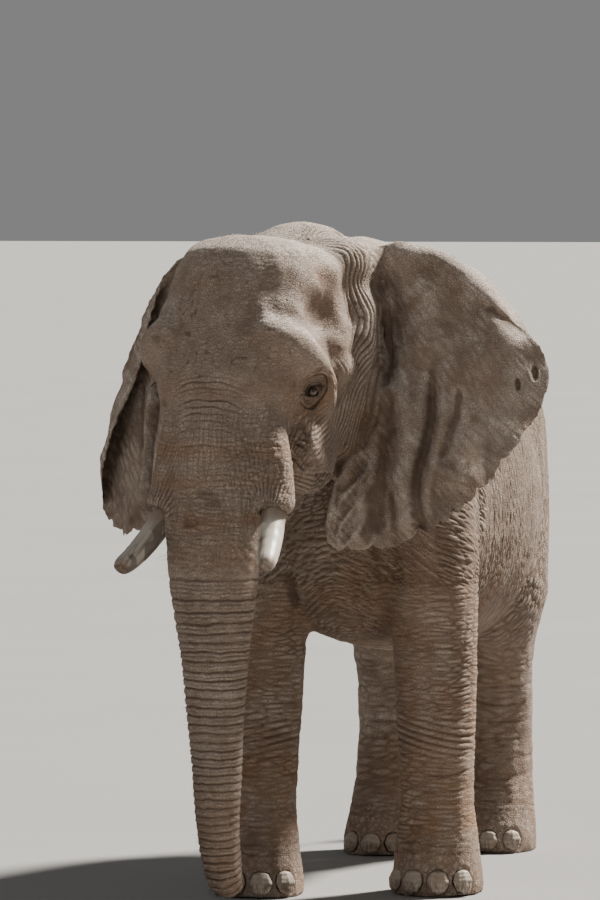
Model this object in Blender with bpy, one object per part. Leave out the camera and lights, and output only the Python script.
"""African elephant, a still life-size museum model, standing on all four feet.

The elephant faces -Y, its left side is +X, and the floor is z = 0. All sizes are metres.
The flesh is built whole from lofted masses, fused, and parted into named nodes by thin cuts.
"""
import math

import bmesh
import bpy
import numpy as np
from mathutils import Matrix, Vector

# ---------------------------------------------------------------- driving dimensions
SHOULDER_TOP = 3.17
NAPE_TOP = 3.25
BACK_DIP = 2.95
HIP_TOP = 3.04
BELLY_Z = 1.07
EYE_CENTRE = (-0.30, -1.98, 2.45)
HEAD_YAW_DEG = -9.0
HEAD_SCALE = 0.90
EYE_BALL_RADIUS = 0.025
EAR_THICKNESS = 0.028
FUSE_VOXEL = 0.022
CUT_GAP = 0.0006
TAIL_END_Z = 1.02
FLESH_TRIANGLES = 2700
EAR_TRIANGLES = 380

# where each foot stands, fore (-) or aft (+)
FORE_LEFT_Y = -0.90
FORE_RIGHT_Y = -1.18
HIND_LEFT_Y = 1.02
HIND_RIGHT_Y = 0.74

FORE_X = 0.41
HIND_X = 0.275


def clear_scene():
    for thing in list(bpy.data.objects):
        bpy.data.objects.remove(thing, do_unlink=True)


def paint(name, colour, roughness, metallic=0.0):
    material = bpy.data.materials.new(name)
    material.use_nodes = True
    shader = material.node_tree.nodes["Principled BSDF"]
    shader.inputs["Base Color"].default_value = (*colour, 1.0)
    shader.inputs["Roughness"].default_value = roughness
    shader.inputs["Metallic"].default_value = metallic
    material.diffuse_color = (*colour, 1.0)
    return material


def between(rows, count):
    """Catmull-Rom rows between the given ones, so a few stations give a smooth run."""
    rows = np.asarray(rows, dtype=float)
    last = len(rows) - 1
    out = []
    for step in np.linspace(0.0, last, count):
        i = min(int(step), last - 1)
        t = step - i
        p0 = rows[i - 1] if i > 0 else 2 * rows[0] - rows[1]
        p1 = rows[i]
        p2 = rows[i + 1]
        p3 = rows[i + 2] if i + 2 <= last else 2 * rows[last] - rows[last - 1]
        out.append(
            0.5
            * (
                2 * p1
                + (p2 - p0) * t
                + (2 * p0 - 5 * p1 + 4 * p2 - p3) * t**2
                + (3 * p1 - p0 - 3 * p2 + p3) * t**3
            )
        )
    return np.array(out)


def rounded(angle, power):
    c = math.cos(angle)
    s = math.sin(angle)
    return (
        math.copysign(abs(c) ** (2.0 / power), c),
        math.copysign(abs(s) ** (2.0 / power), s),
    )


def shell(rings):
    """A closed mesh from rings of equal length, with a fan at each end."""
    mesh = bmesh.new()
    grid = [[mesh.verts.new(p) for p in ring] for ring in rings]
    around = len(rings[0])
    for a, b in zip(grid[:-1], grid[1:]):
        for i in range(around):
            j = (i + 1) % around
            mesh.faces.new((a[i], a[j], b[j], b[i]))
    for ring, flip in ((grid[0], True), (grid[-1], False)):
        middle = mesh.verts.new(sum((v.co for v in ring), Vector()) / around)
        for i in range(around):
            j = (i + 1) % around
            mesh.faces.new((ring[j], ring[i], middle) if flip else (ring[i], ring[j], middle))
    bmesh.ops.recalc_face_normals(mesh, faces=mesh.faces)
    return mesh


def body_rows(rows, around=40, steps=44):
    """Loft along Y. Row: y, centre x, top z, bottom z, widest z, half width, power."""
    rings = []
    for y, x, top, low, wide, half, power in between(rows, steps):
        ring = []
        for k in range(around):
            c, s = rounded(2 * math.pi * k / around, power)
            height = (top - wide) if s > 0 else (wide - low)
            ring.append((x + max(half, 0.01) * c, y, wide + max(height, 0.01) * s))
        rings.append(ring)
    return shell(rings)


def column_rows(rows, around=32, steps=36):
    """Loft down Z. Row: z, centre x, centre y, half width, front, back, power."""
    rings = []
    for z, x, y, half, front, back, power in between(rows, steps):
        ring = []
        for k in range(around):
            c, s = rounded(2 * math.pi * k / around, power)
            depth = back if s > 0 else front
            ring.append((x + max(half, 0.01) * c, y + max(depth, 0.01) * s, z))
        rings.append(ring)
    return shell(rings)


def limb_rows(rows, around=28, steps=40):
    """Tube square to its own path. Row: x, y, z, side radius, depth radius, power."""
    path = between(rows, steps)
    points = path[:, :3]
    rings = []
    for i, (x, y, z, side, depth, power) in enumerate(path):
        ahead = points[min(i + 1, steps - 1)] - points[max(i - 1, 0)]
        along = Vector(ahead).normalized()
        across = Vector((1.0, 0.0, 0.0))
        across = (across - along * across.dot(along)).normalized()
        other = along.cross(across)
        ring = []
        for k in range(around):
            c, s = rounded(2 * math.pi * k / around, power)
            ring.append(Vector((x, y, z)) + across * side * c + other * depth * s)
        rings.append(ring)
    return shell(rings)


def ball(centre, radii, turn=(0.0, 0.0, 0.0), detail=20):
    mesh = bmesh.new()
    bmesh.ops.create_uvsphere(mesh, u_segments=detail, v_segments=detail // 2, radius=1.0)
    place = Matrix.Translation(Vector(centre))
    for axis, degrees in zip("XYZ", turn):
        place = place @ Matrix.Rotation(math.radians(degrees), 4, axis)
    place = place @ Matrix.Diagonal((*radii, 1.0))
    mesh.transform(place)
    return mesh


def swollen(mesh, gap):
    """The same piece grown by a gap, to hollow a seat for it."""
    mesh.normal_update()
    moves = [(vert, vert.normal * gap) for vert in mesh.verts]
    for vert, move in moves:
        vert.co += move
    return mesh


def mirrored(mesh):
    twin = mesh.copy()
    twin.transform(Matrix.Scale(-1.0, 4, (1.0, 0.0, 0.0)))
    bmesh.ops.reverse_faces(twin, faces=twin.faces)
    return twin


def to_object(mesh, name):
    data = bpy.data.meshes.new(name)
    mesh.to_mesh(data)
    mesh.free()
    thing = bpy.data.objects.new(name, data)
    bpy.context.scene.collection.objects.link(thing)
    return thing


def settle(thing):
    """Turn the modifiers of an object into plain mesh."""
    graph = bpy.context.evaluated_depsgraph_get()
    graph.update()
    data = bpy.data.meshes.new_from_object(thing.evaluated_get(graph))
    thing.modifiers.clear()
    thing.data = data


HEAD_PLACE = (
    Matrix.Translation(Vector(EYE_CENTRE))
    @ Matrix.Rotation(math.radians(HEAD_YAW_DEG), 4, "Z")
    @ Matrix.Scale(HEAD_SCALE, 4)
)


def on_head(mesh):
    mesh.transform(HEAD_PLACE)
    return mesh


# ---------------------------------------------------------------- trunk of the body
def torso_mesh():
    return body_rows(
        [
            (-1.56, -0.15, 2.82, 2.00, 2.38, 0.15, 2.0),
            (-1.44, -0.12, 2.99, 1.74, 2.30, 0.33, 2.0),
            (-1.20, -0.06, 3.12, 1.36, 2.18, 0.47, 2.1),
            (-0.93, 0.0, SHOULDER_TOP, 1.21, 2.06, 0.55, 2.15),
            (-0.55, 0.0, 3.13, 1.15, 2.00, 0.575, 2.15),
            (-0.10, 0.0, 3.02, 1.10, 1.95, 0.605, 2.1),
            (0.35, 0.0, BACK_DIP, BELLY_Z, 1.92, 0.61, 2.1),
            (0.72, 0.0, 2.98, 1.06, 1.95, 0.58, 2.1),
            (1.05, 0.0, HIP_TOP, 1.14, 1.98, 0.50, 2.0),
            (1.38, 0.0, 2.93, 1.42, 2.04, 0.42, 2.0),
            (1.62, 0.0, 2.72, 1.72, 2.12, 0.31, 2.0),
            (1.74, 0.0, 2.55, 2.00, 2.20, 0.14, 2.0),
        ],
        around=48,
        steps=60,
    )


def neck_mesh():
    return body_rows(
        [
            (-0.90, -0.02, 3.12, 1.66, 2.36, 0.40, 2.0),
            (-1.15, -0.08, 3.18, 1.70, 2.40, 0.42, 2.0),
            (-1.38, -0.16, NAPE_TOP, 1.78, 2.44, 0.44, 2.1),
            (-1.60, -0.22, 3.14, 1.86, 2.46, 0.42, 2.1),
            (-1.78, -0.26, 3.04, 1.94, 2.48, 0.37, 2.1),
        ],
        around=36,
        steps=24,
    )


def foreleg_mesh(foot_y, side):
    shoulder_y = -1.02
    drift = foot_y - shoulder_y
    rows = []
    for z, x, sway, half, deep in (
        (2.50, 0.33, 0.00, 0.15, 0.28),
        (2.15, 0.385, 0.02, 0.205, 0.34),
        (1.80, 0.405, 0.08, 0.222, 0.33),
        (1.50, 0.41, 0.22, 0.218, 0.285),
        (1.20, 0.41, 0.42, 0.206, 0.240),
        (0.92, 0.41, 0.62, 0.196, 0.212),
        (0.66, 0.41, 0.80, 0.184, 0.196),
        (0.42, 0.41, 0.92, 0.178, 0.190),
        (0.22, 0.41, 0.98, 0.200, 0.216),
        (0.09, 0.41, 1.00, 0.222, 0.240),
        (-0.03, 0.41, 1.00, 0.228, 0.246),
    ):
        rows.append((z, side * x * FORE_X / 0.41, shoulder_y + drift * sway, half, deep, deep, 2.1))
    return column_rows(rows)


def hindleg_mesh(foot_y, side):
    hip_y = 1.16
    drift = foot_y - hip_y
    rows = []
    for z, x, bow, sway, half, front, back in (
        (2.62, 0.20, -0.02, 0.0, 0.15, 0.34, 0.32),
        (2.28, 0.28, -0.02, 0.02, 0.205, 0.44, 0.42),
        (1.95, 0.305, -0.05, 0.06, 0.222, 0.47, 0.42),
        (1.62, 0.325, -0.10, 0.18, 0.238, 0.42, 0.35),
        (1.32, 0.335, -0.13, 0.36, 0.236, 0.345, 0.28),
        (1.04, 0.315, -0.08, 0.55, 0.180, 0.255, 0.225),
        (0.76, 0.310, 0.03, 0.75, 0.160, 0.190, 0.192),
        (0.48, 0.315, 0.06, 0.90, 0.154, 0.180, 0.182),
        (0.24, 0.315, 0.01, 0.98, 0.176, 0.215, 0.196),
        (0.09, 0.315, -0.02, 1.0, 0.198, 0.252, 0.210),
        (-0.03, 0.315, -0.02, 1.0, 0.202, 0.258, 0.215),
    ):
        rows.append(
            (z, side * x * HIND_X / 0.315, hip_y + bow + drift * sway, half, front, back, 2.1)
        )
    return column_rows(rows)


def tail_mesh():
    return limb_rows(
        [
            (0.0, 1.60, 2.62, 0.10, 0.10, 2.0),
            (0.0, 1.74, 2.45, 0.085, 0.095, 2.0),
            (0.0, 1.85, 2.20, 0.055, 0.065, 2.0),
            (0.01, 1.88, 1.90, 0.042, 0.050, 2.0),
            (0.02, 1.88, 1.55, 0.034, 0.042, 2.0),
            (0.03, 1.86, 1.20, 0.030, 0.036, 2.0),
            (0.04, 1.84, 0.98, 0.028, 0.032, 2.0),
        ],
        around=20,
        steps=30,
    )


# ---------------------------------------------------------------- head, in its own frame
def skull_mesh():
    rows = []
    for z, half, front, back, power in (
        (0.815, 0.10, 0.12, 0.16, 2.0),
        (0.775, 0.27, 0.22, 0.36, 2.0),
        (0.69, 0.355, 0.29, 0.50, 2.1),
        (0.52, 0.420, 0.37, 0.58, 2.2),
        (0.32, 0.450, 0.43, 0.62, 2.35),
        (0.14, 0.452, 0.48, 0.62, 2.4),
        (-0.02, 0.432, 0.51, 0.62, 2.25),
        (-0.20, 0.392, 0.52, 0.57, 2.1),
        (-0.38, 0.350, 0.51, 0.50, 2.0),
        (-0.52, 0.290, 0.47, 0.42, 2.0),
        (-0.62, 0.200, 0.37, 0.34, 2.0),
        (-0.68, 0.080, 0.15, 0.15, 2.0),
    ):
        rows.append((z, 0.0, 0.13, half, front, back, power))
    return column_rows(rows, around=48, steps=56)


def trunk_rows():
    return [
        (0.008, -0.14, 0.12, 0.235, 0.20, 2.0),
        (0.022, -0.18, -0.12, 0.240, 0.225, 2.1),
        (0.026, -0.22, -0.36, 0.241, 0.232, 2.2),
        (0.014, -0.25, -0.60, 0.251, 0.228, 2.2),
        (-0.004, -0.265, -0.82, 0.252, 0.218, 2.15),
        (-0.006, -0.268, -1.08, 0.220, 0.197, 2.1),
        (0.0, -0.262, -1.34, 0.183, 0.169, 2.1),
        (0.0, -0.255, -1.60, 0.160, 0.149, 2.0),
        (0.0, -0.245, -1.86, 0.141, 0.132, 2.0),
        (0.0, -0.235, -2.12, 0.126, 0.117, 2.0),
        (0.003, -0.210, -2.36, 0.112, 0.103, 2.0),
        (0.006, -0.160, -2.52, 0.102, 0.090, 2.0),
        (0.008, -0.095, -2.585, 0.092, 0.066, 2.0),
    ]


def trunk_mesh():
    return limb_rows(trunk_rows(), around=36, steps=70)


def lip_shift(side, height):
    """The lip and both tusks sit a little toward the animal's left, the left tusk most."""
    low = min(max(-height / 0.45, 0.0), 1.0)
    return low * (0.052 + (0.008 if side > 0.0 else 0.0))


def socket_mesh(side):
    """Tusk socket and lip sleeve."""
    rows = []
    for x, y, z, half, depth in (
        (0.17, -0.14, 0.02, 0.11, 0.11),
        (0.215, -0.20, -0.16, 0.125, 0.125),
        (0.262, -0.255, -0.36, 0.120, 0.115),
        (0.292, -0.295, -0.50, 0.108, 0.102),
        (0.308, -0.325, -0.60, 0.094, 0.090),
    ):
        rows.append((side * x + lip_shift(side, z), y, z, half, depth, 2.0))
    return limb_rows(rows, around=24, steps=24)


def ear_root_mesh():
    """Muscle that carries the top of an ear."""
    return ball((0.27, 0.64, 0.665), (0.24, 0.25, 0.15))


def cheek_mesh():
    return ball((0.275, 0.18, -0.26), (0.18, 0.33, 0.29), turn=(10.0, 0.0, 0.0))


def jaw_mesh():
    return body_rows(
        [
            (0.52, 0.0, -0.26, -0.58, -0.42, 0.20, 2.0),
            (0.36, 0.0, -0.32, -0.70, -0.52, 0.235, 2.1),
            (0.20, 0.0, -0.42, -0.79, -0.62, 0.205, 2.1),
            (0.06, 0.0, -0.54, -0.85, -0.71, 0.150, 2.1),
            (-0.04, 0.0, -0.64, -0.89, -0.78, 0.092, 2.0),
            (-0.09, 0.0, -0.72, -0.90, -0.82, 0.045, 2.0),
        ],
        around=28,
        steps=26,
    )


def brow_mesh():
    return limb_rows(
        [
            (0.23, -0.25, 0.36, 0.07, 0.08, 2.0),
            (0.33, -0.18, 0.28, 0.105, 0.10, 2.0),
            (0.405, -0.08, 0.20, 0.115, 0.105, 2.0),
            (0.440, 0.04, 0.12, 0.090, 0.085, 2.0),
            (0.430, 0.16, 0.01, 0.075, 0.07, 2.0),
            (0.41, 0.26, -0.10, 0.05, 0.05, 2.0),
        ],
        around=20,
        steps=16,
    )


def dent(points, centre, radius, push):
    """Push a soft round patch of points by the given vector, strongest in the middle."""
    centre = np.asarray(centre)
    push = np.asarray(push)
    reach = np.linalg.norm((points - centre) / np.asarray(radius), axis=1)
    weight = np.clip(1.0 - reach**2, 0.0, 1.0) ** 2
    return points + weight[:, None] * push


def head_shape(points):
    """Temple hollow, eye hollow and cheek folds, worked on points in the head's frame."""
    for side in (1.0, -1.0):
        points = dent(points, (side * 0.44, 0.12, 0.36), (0.22, 0.22, 0.22), (-side * 0.055, 0, 0))
        points = dent(points, (side * 0.47, 0.01, 0.0), (0.14, 0.12, 0.10), (-side * 0.018, 0, 0))
        points = dent(points, (side * 0.40, -0.07, -0.24), (0.16, 0.12, 0.16), (-side * 0.035, 0, 0))
        points = dent(points, (side * 0.30, -0.10, -0.72), (0.14, 0.16, 0.12), (-side * 0.02, 0.03, 0))
    return points


# ---------------------------------------------------------------- ears
# height on the head, front edge and back edge, measured along the ear from its root line
EAR_ROWS = (
    (0.82, 0.06, 0.13),
    (0.79, -0.08, 0.27),
    (0.72, -0.12, 0.43),
    (0.58, -0.13, 0.59),
    (0.42, -0.12, 0.72),
    (0.26, -0.10, 0.84),
    (0.12, -0.08, 0.93),
    (-0.04, -0.08, 0.93),
    (-0.20, -0.10, 0.86),
    (-0.36, -0.17, 0.75),
    (-0.50, -0.23, 0.64),
    (-0.62, -0.26, 0.52),
    (-0.72, -0.28, 0.38),
    (-0.80, -0.26, 0.22),
    (-0.85, -0.17, 0.06),
)


def ear_point(side, along, height, fit):
    """Middle surface of an ear. along runs from the root line, height is on the head."""
    sweep, low_sweep, droop, bow = fit
    low = min(max((0.45 - height) / 0.9, 0.0), 1.0)
    root_x = 0.42 + 0.07 * math.sin(math.pi * min(max((0.95 - height) / 1.3, 0.0), 1.0))
    root_x += 0.07 * low
    root_y = 0.76 - 0.02 * height - 0.27 * low**1.5
    turn = math.radians(sweep + (low_sweep - sweep) * low)
    bend = bow * math.sin(math.pi * min(max(along, 0.0), 1.0))
    x = root_x + along * math.cos(turn) + bend * math.sin(turn)
    y = root_y + along * math.sin(turn) - bend * math.cos(turn)
    if along < 0.0:
        x -= 0.30 * along
        y -= 0.10 * along
    y -= 0.018 * math.sin(9.0 * along + 3.0 * height)
    z = height - droop * (max(along, 0.0) ** 1.5 + 0.22 * max(height - 0.4, 0.0))
    return Vector((side * x, y, z))


def curled(grid_point, past, radius, forward, inward):
    """Carry a point that lies past the fold line round a roll of the given radius."""
    turn = min(past / radius, math.pi)
    over = max(past - math.pi * radius, 0.0)
    moved = grid_point + inward * past
    moved = moved - inward * (radius * math.sin(turn)) + forward * (radius * (1.0 - math.cos(turn)))
    return moved + inward * over


def ear_mesh(side, fit, roll, across=18, steps=30):
    """Ear sheet. roll is the widest depth of the rim that rolls forward along the top."""
    rows = between(EAR_ROWS, steps)
    forward = Vector((side * 0.25, -1.0, 0.0)).normalized()
    lines = []
    for height, near, far in rows:
        scallop = 0.012 * math.sin(height * 34.0)
        line = []
        for k in range(across + 1):
            t = k / across
            along = near + (far + scallop - near) * t
            point = ear_point(side, along, height, fit)
            rim = roll * math.sin(math.pi * min(max((0.86 - height) / 1.16, 0.0), 1.0)) ** 0.7
            edge = (far + scallop - along) * 0.82
            past = rim - edge
            if past > 0.0 and rim > 0.0:
                inward = (ear_point(side, along - 0.05, height - 0.04, fit) - point).normalized()
                point = curled(point, past, 0.045, forward, inward)
            line.append(point)
        lines.append(line)
    mesh = bmesh.new()
    grid = [[mesh.verts.new(p) for p in line] for line in lines]
    for a, b in zip(grid[:-1], grid[1:]):
        for i in range(across):
            mesh.faces.new((a[i], a[i + 1], b[i + 1], b[i]))
    bmesh.ops.recalc_face_normals(mesh, faces=mesh.faces)
    return mesh


def ear_object(name, side, fit, roll):
    thing = to_object(on_head(ear_mesh(side, fit, roll)), name)
    thick = thing.modifiers.new("thickness", "SOLIDIFY")
    thick.thickness = EAR_THICKNESS
    thick.offset = 0.0
    thick.use_even_offset = False
    settle(thing)
    return thing


# ---------------------------------------------------------------- eyes, tusks, nails, tail brush
def eye_place(side):
    return HEAD_PLACE @ Vector((side * 0.426, 0.010, 0.008))


def eye_ball(side):
    radius = EYE_BALL_RADIUS
    return ball(eye_place(side), (radius, radius, radius), detail=12)


def tusk_mesh(side):
    """Short blunt tusk. It starts inside the lip sleeve and points forward, out and down."""
    rows = []
    shift = lip_shift(side, -0.5)
    lift = 0.034 if side > 0.0 else 0.0
    for x, y, z, radius in (
        (0.262, -0.225, -0.46, 0.058),
        (0.287, -0.275, -0.56, 0.064),
        (0.316, -0.345, -0.670, 0.066),
        (0.350, -0.445, -0.770, 0.064),
        (0.378, -0.535, -0.838, 0.059),
        (0.400, -0.600, -0.876, 0.052),
        (0.411, -0.632, -0.893, 0.038),
        (0.415, -0.642, -0.898, 0.014),
    ):
        rows.append((side * x + shift * (1.0 - 0.45 * -y), y, z + lift, radius, radius, 2.0))
    return on_head(limb_rows(rows, around=12, steps=11))


def nail_mesh(place, bearing, size):
    """Toenail, a thick domed plate. bearing 0 looks straight ahead, positive to the left."""
    wide, tall, deep = size
    angle = math.radians(bearing)
    nail = ball((0.0, 0.0, 0.0), (wide, deep, tall), detail=8)
    nail.transform(Matrix.Rotation(math.radians(-14.0), 4, "X"))
    nail.transform(Matrix.Rotation(angle, 4, "Z"))
    nail.transform(Matrix.Translation(Vector(place)))
    return nail


FORE_NAILS = (-52.0, -19.0, 15.0, 48.0)
HIND_NAILS = (-36.0, 0.0, 36.0)
FEET = (
    ("forefoot_left", 1.0, FORE_X, FORE_LEFT_Y, 0.218, 0.234, FORE_NAILS, (0.058, 0.062, 0.030)),
    ("forefoot_right", -1.0, FORE_X, FORE_RIGHT_Y, 0.218, 0.234, FORE_NAILS, (0.058, 0.062, 0.030)),
    ("hindfoot_left", 1.0, HIND_X, HIND_LEFT_Y - 0.02, 0.192, 0.246, HIND_NAILS, (0.054, 0.056, 0.030)),
    ("hindfoot_right", -1.0, HIND_X, HIND_RIGHT_Y - 0.02, 0.192, 0.246, HIND_NAILS, (0.054, 0.056, 0.030)),
)


def nail_list():
    found = []
    for foot, side, x, y, half, front, bearings, size in FEET:
        for count, bearing in enumerate(bearings, start=1):
            angle = math.radians(bearing * side)
            place = (
                side * x + half * math.sin(angle),
                y - front * math.cos(angle),
                size[1] + 0.012,
            )
            found.append((f"nail_{foot}_{count}", place, bearing * side, size))
    return found


def brush_mesh():
    return limb_rows(
        [
            (0.040, 1.842, TAIL_END_Z - CUT_GAP, 0.025, 0.030, 2.0),
            (0.042, 1.838, 0.960, 0.031, 0.046, 2.0),
            (0.045, 1.832, 0.860, 0.036, 0.060, 2.0),
            (0.050, 1.825, 0.740, 0.034, 0.058, 2.0),
            (0.055, 1.820, 0.630, 0.026, 0.042, 2.0),
            (0.060, 1.815, 0.550, 0.008, 0.012, 2.0),
        ],
        around=10,
        steps=9,
    )


# ---------------------------------------------------------------- joining and parting
def joined(meshes, name):
    whole = bmesh.new()
    for piece in meshes:
        data = bpy.data.meshes.new("piece")
        piece.to_mesh(data)
        piece.free()
        whole.from_mesh(data)
        bpy.data.meshes.remove(data)
    return to_object(whole, name)


def hide_cutter(cutter):
    cutter.hide_render = True
    cutter.display_type = "WIRE"


def carve(thing, cutter, operation="DIFFERENCE"):
    hide_cutter(cutter)
    cut = thing.modifiers.new("carve", "BOOLEAN")
    cut.operation = operation
    cut.solver = "EXACT"
    cut.use_self = False
    cut.object = cutter
    settle(thing)


def twin_of(thing, name):
    copy = thing.copy()
    copy.data = thing.data.copy()
    copy.name = name
    bpy.context.scene.collection.objects.link(copy)
    return copy


def discard(thing):
    bpy.data.objects.remove(thing, do_unlink=True)


def biggest_island(thing):
    """Keep the largest connected piece, so no crumb or sealed bubble is left."""
    mesh = bmesh.new()
    mesh.from_mesh(thing.data)
    waiting = set(mesh.verts)
    best = []
    while waiting:
        start = waiting.pop()
        island = [start]
        stack = [start]
        while stack:
            for edge in stack.pop().link_edges:
                for vert in edge.verts:
                    if vert in waiting:
                        waiting.remove(vert)
                        island.append(vert)
                        stack.append(vert)
        if len(island) > len(best):
            best = island
    keep = set(best)
    bmesh.ops.delete(mesh, geom=[v for v in mesh.verts if v not in keep], context="VERTS")
    mesh.to_mesh(thing.data)
    mesh.free()


def tidy(thing):
    mesh = bmesh.new()
    mesh.from_mesh(thing.data)
    bmesh.ops.triangulate(mesh, faces=mesh.faces)
    bmesh.ops.remove_doubles(mesh, verts=mesh.verts, dist=0.00005)
    bmesh.ops.dissolve_degenerate(mesh, edges=mesh.edges, dist=0.00002)
    mesh.to_mesh(thing.data)
    mesh.free()
    biggest_island(thing)


def slice_off(thing, point, normal, name):
    """Part a solid by a plane. The side the normal points to becomes a new object."""
    normal = Vector(normal).normalized()
    point = Vector(point)
    far = twin_of(thing, name)
    for part, sign in ((thing, -1.0), (far, 1.0)):
        mesh = bmesh.new()
        mesh.from_mesh(part.data)
        bmesh.ops.bisect_plane(
            mesh,
            geom=mesh.verts[:] + mesh.edges[:] + mesh.faces[:],
            plane_co=point + normal * sign * CUT_GAP / 2,
            plane_no=normal * sign,
            clear_inner=True,
            clear_outer=False,
        )
        rim = [edge for edge in mesh.edges if edge.is_boundary]
        bmesh.ops.holes_fill(mesh, edges=rim, sides=0)
        bmesh.ops.triangulate(mesh, faces=[f for f in mesh.faces if len(f.verts) > 4])
        bmesh.ops.recalc_face_normals(mesh, faces=mesh.faces)
        mesh.to_mesh(part.data)
        mesh.free()
    return far


def box(low, high, turn=(0.0, 0.0, 0.0), pivot=(0.0, 0.0, 0.0), grow=0.0):
    low = Vector(low) - Vector((grow, grow, grow))
    high = Vector(high) + Vector((grow, grow, grow))
    mesh = bmesh.new()
    bmesh.ops.create_cube(mesh, size=1.0)
    place = Matrix.Translation((low + high) / 2) @ Matrix.Diagonal((*(high - low), 1.0))
    mesh.transform(place)
    around = Matrix.Translation(Vector(pivot))
    for axis, degrees in zip("XYZ", turn):
        around = around @ Matrix.Rotation(math.radians(degrees), 4, axis)
    around = around @ Matrix.Translation(-Vector(pivot))
    mesh.transform(around)
    return mesh


def take_box(thing, name, **where):
    """Part the flesh inside a box from the rest, with the thin gap between them."""
    piece = twin_of(thing, name)
    inner = to_object(box(**where), name + "_cutter")
    carve(piece, inner, "INTERSECT")
    outer = to_object(box(grow=CUT_GAP, **where), name + "_outer_cutter")
    carve(thing, outer)
    discard(inner)
    discard(outer)
    tidy(piece)
    tidy(thing)
    return piece


# ---------------------------------------------------------------- build
def fused_flesh():
    pieces = [torso_mesh(), neck_mesh(), tail_mesh()]
    pieces += [foreleg_mesh(FORE_LEFT_Y, 1.0), foreleg_mesh(FORE_RIGHT_Y, -1.0)]
    pieces += [hindleg_mesh(HIND_LEFT_Y, 1.0), hindleg_mesh(HIND_RIGHT_Y, -1.0)]
    shoulder = ball((0.375, -0.93, 2.12), (0.225, 0.36, 0.70), turn=(-6.0, 4.0, 0.0))
    pieces += [shoulder, mirrored(shoulder)]
    head_parts = [skull_mesh(), trunk_mesh(), jaw_mesh()]
    head_parts += [socket_mesh(side) for side in (1.0, -1.0)]
    for part in (cheek_mesh(), brow_mesh(), ear_root_mesh()):
        head_parts += [part, mirrored(part)]
    pieces += [on_head(part) for part in head_parts]
    flesh = joined(pieces, "flesh")
    fuse = flesh.modifiers.new("fuse", "REMESH")
    fuse.mode = "VOXEL"
    fuse.voxel_size = FUSE_VOXEL
    settle(flesh)
    biggest_island(flesh)
    soften = flesh.modifiers.new("soften", "SMOOTH")
    soften.factor = 0.5
    soften.iterations = 7
    settle(flesh)
    return flesh


def shape_head(flesh):
    count = len(flesh.data.vertices)
    points = np.empty(count * 3)
    flesh.data.vertices.foreach_get("co", points)
    points = points.reshape(-1, 3)
    to_head = np.array(HEAD_PLACE.inverted())
    from_head = np.array(HEAD_PLACE)
    local = points @ to_head[:3, :3].T + to_head[:3, 3]
    local = head_shape(local)
    points = local @ from_head[:3, :3].T + from_head[:3, 3]
    flesh.data.vertices.foreach_set("co", points.ravel())
    flesh.data.update()


def thin_out(thing, triangles):
    less = thing.modifiers.new("less", "DECIMATE")
    count = sum(len(face.vertices) - 2 for face in thing.data.polygons)
    less.ratio = min(1.0, triangles / count)
    less.use_collapse_triangulate = True
    settle(thing)


def fit_into(flesh, meshes):
    """Hollow the flesh for pieces that sit in it."""
    for mesh in meshes:
        cutter = to_object(mesh, "seat_cutter")
        carve(flesh, cutter)
        discard(cutter)


def centre_everything():
    """Put the middle of the underside of the bounding box at the origin."""
    low = Vector((1e9, 1e9, 1e9))
    high = -low
    things = [thing for thing in bpy.data.objects if thing.type == "MESH"]
    for thing in things:
        for vert in thing.data.vertices:
            low = Vector(map(min, low, vert.co))
            high = Vector(map(max, high, vert.co))
    shift = Vector(((low.x + high.x) / 2, (low.y + high.y) / 2, low.z))
    for thing in things:
        thing.data.transform(Matrix.Translation(-shift))
        middle = sum((Vector(corner) for corner in thing.bound_box), Vector()) / 8
        thing.data.transform(Matrix.Translation(-middle))
        thing.location = middle
    print("shift", [round(v, 4) for v in shift], "size", [round(v, 3) for v in high - low])


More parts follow.
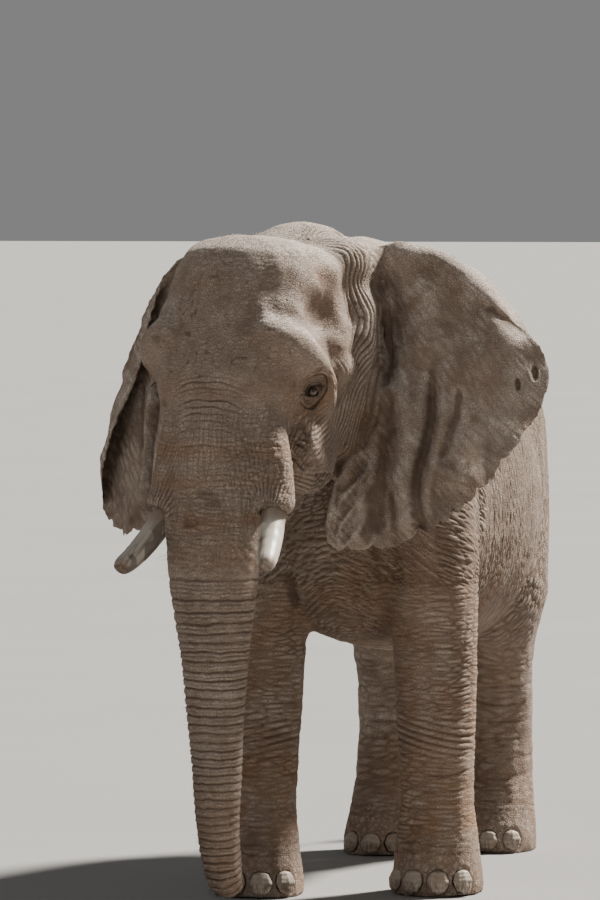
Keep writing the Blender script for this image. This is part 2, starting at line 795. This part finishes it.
def main():
    clear_scene()
    skin_paint = paint("elephant_skin", (0.22, 0.185, 0.155), 0.85)
    ivory_paint = paint("tusk_ivory", (0.62, 0.58, 0.50), 0.45)
    eye_paint = paint("eye_dark", (0.03, 0.018, 0.010), 0.12)
    nail_paint = paint("nail_horn", (0.36, 0.31, 0.25), 0.60)
    brush_paint = paint("tail_hair", (0.035, 0.030, 0.028), 0.70)

    flesh = fused_flesh()
    shape_head(flesh)
    thin_out(flesh, FLESH_TRIANGLES)
    _ = slice_off(flesh, (0.0, 0.0, 0.0), (0.0, 0.0, 1.0), "standing")
    discard(flesh)
    flesh = bpy.data.objects["standing"]
    tidy(flesh)

    # ears, cut back to the outside of the flesh
    skirt = twin_of(flesh, "skirt_cutter")
    swell = skirt.modifiers.new("swell", "DISPLACE")
    swell.strength = CUT_GAP
    swell.mid_level = 0.0
    settle(skirt)
    left = ear_object("ear_left", 1.0, (36.0, 34.0, 0.0, 0.15), 0.05)
    right = ear_object("ear_right", -1.0, (24.0, 35.0, 0.62, 0.09), 0.24)
    for ear in (left, right):
        thin_out(ear, EAR_TRIANGLES)
        carve(ear, skirt)
        tidy(ear)
    discard(skirt)

    # seats for the eyes, tusks and nails
    nails = nail_list()
    seats = [eye_ball(side) for side in (1.0, -1.0)]
    seats += [tusk_mesh(side) for side in (1.0, -1.0)]
    seats += [nail_mesh(place, bearing, size) for _, place, bearing, size in nails]
    seats = [swollen(seat, CUT_GAP) for seat in seats]
    fit_into(flesh, seats)
    tidy(flesh)
    for side, name in ((1.0, "left"), (-1.0, "right")):
        to_object(eye_ball(side), "eye_" + name)
        to_object(tusk_mesh(side), "tusk_" + name)
    for name, place, bearing, size in nails:
        to_object(nail_mesh(place, bearing, size), name)
    to_object(brush_mesh(), "tail_brush")

    # legs
    legs = []
    for side, name in ((1.0, "left"), (-1.0, "right")):
        near, far = sorted((side * 0.165, side * 1.3))
        legs.append(
            take_box(
                flesh,
                "foreleg_" + name + "_upper",
                low=(near, -1.70, -0.4),
                high=(far, -0.56, 1.50),
            )
        )
        near, far = sorted((side * 0.03, side * 1.3))
        legs.append(
            take_box(
                flesh,
                "hindleg_" + name + "_upper",
                low=(near, 0.62, -0.4),
                high=(far, 2.40, 1.72),
                turn=(-16.0, 0.0, 0.0),
                pivot=(side * 0.3, 0.62, 1.05),
            )
        )
    for leg in legs:
        base = leg.name[: -len("_upper")]
        fore = base.startswith("fore")
        slice_off(leg, (0.0, 0.0, 0.86 if fore else 0.92), (0.0, 0.0, -1.0), base + "_lower")
        lower = bpy.data.objects[base + "_lower"]
        slice_off(lower, (0.0, 0.0, 0.30), (0.0, 0.0, -1.0), base.replace("leg", "foot"))

    # tail
    tail = take_box(flesh, "tail_upper", low=(-0.2, 1.785, 0.4), high=(0.2, 2.3, 2.36))
    tail_lower = slice_off(tail, (0.0, 0.0, 1.62), (0.0, 0.0, -1.0), "tail_lower")
    discard(slice_off(tail_lower, (0.0, 0.0, TAIL_END_Z), (0.0, 0.0, -1.0), "tail_stub"))

    # neck, head, jaw and trunk
    neck = slice_off(flesh, (-0.05, -1.20, 2.4), (-0.12, -1.0, 0.15), "neck")
    head = slice_off(neck, (-0.20, -1.47, 2.5), (-0.15, -1.0, 0.15), "head")
    trunk = slice_off(
        head, HEAD_PLACE @ Vector((0, 0, -0.955)), (0.0, 0.0, -1.0), "trunk_upper"
    )
    middle = slice_off(trunk, HEAD_PLACE @ Vector((0, 0, -1.50)), (0.0, 0.0, -1.0), "trunk_middle")
    slice_off(middle, HEAD_PLACE @ Vector((0, 0, -2.05)), (0.0, 0.0, -1.0), "trunk_lower")
    hinge = HEAD_PLACE @ Vector((0.0, 0.02, -0.70))
    take_box(
        head,
        "jaw",
        low=hinge + Vector((-0.50, 0.0, -0.60)),
        high=hinge + Vector((0.50, 0.62, 0.0)),
        turn=(24.0, 0.0, HEAD_YAW_DEG),
        pivot=hinge,
    )
    slice_off(flesh, (0.0, -0.50, 2.0), (0.0, -1.0, 0.0), "shoulders")
    slice_off(flesh, (0.0, 0.60, 2.0), (0.0, 1.0, 0.0), "rump")
    flesh.name = "belly"

    for thing in bpy.data.objects:
        tidy(thing)
        thing.data.materials.clear()
        kind = thing.name.split("_")[0]
        paints = {"tusk": ivory_paint, "eye": eye_paint, "nail": nail_paint}
        colour = brush_paint if thing.name == "tail_brush" else paints.get(kind, skin_paint)
        thing.data.materials.append(colour)
        thing.data.name = thing.name
        for face in thing.data.polygons:
            face.use_smooth = True
            face.material_index = 0
    centre_everything()
    total = 0
    for thing in bpy.data.objects:
        total += len(thing.data.polygons)
    print("objects", len(bpy.data.objects), "triangles", total)


if __name__ == "__main__":
    main()
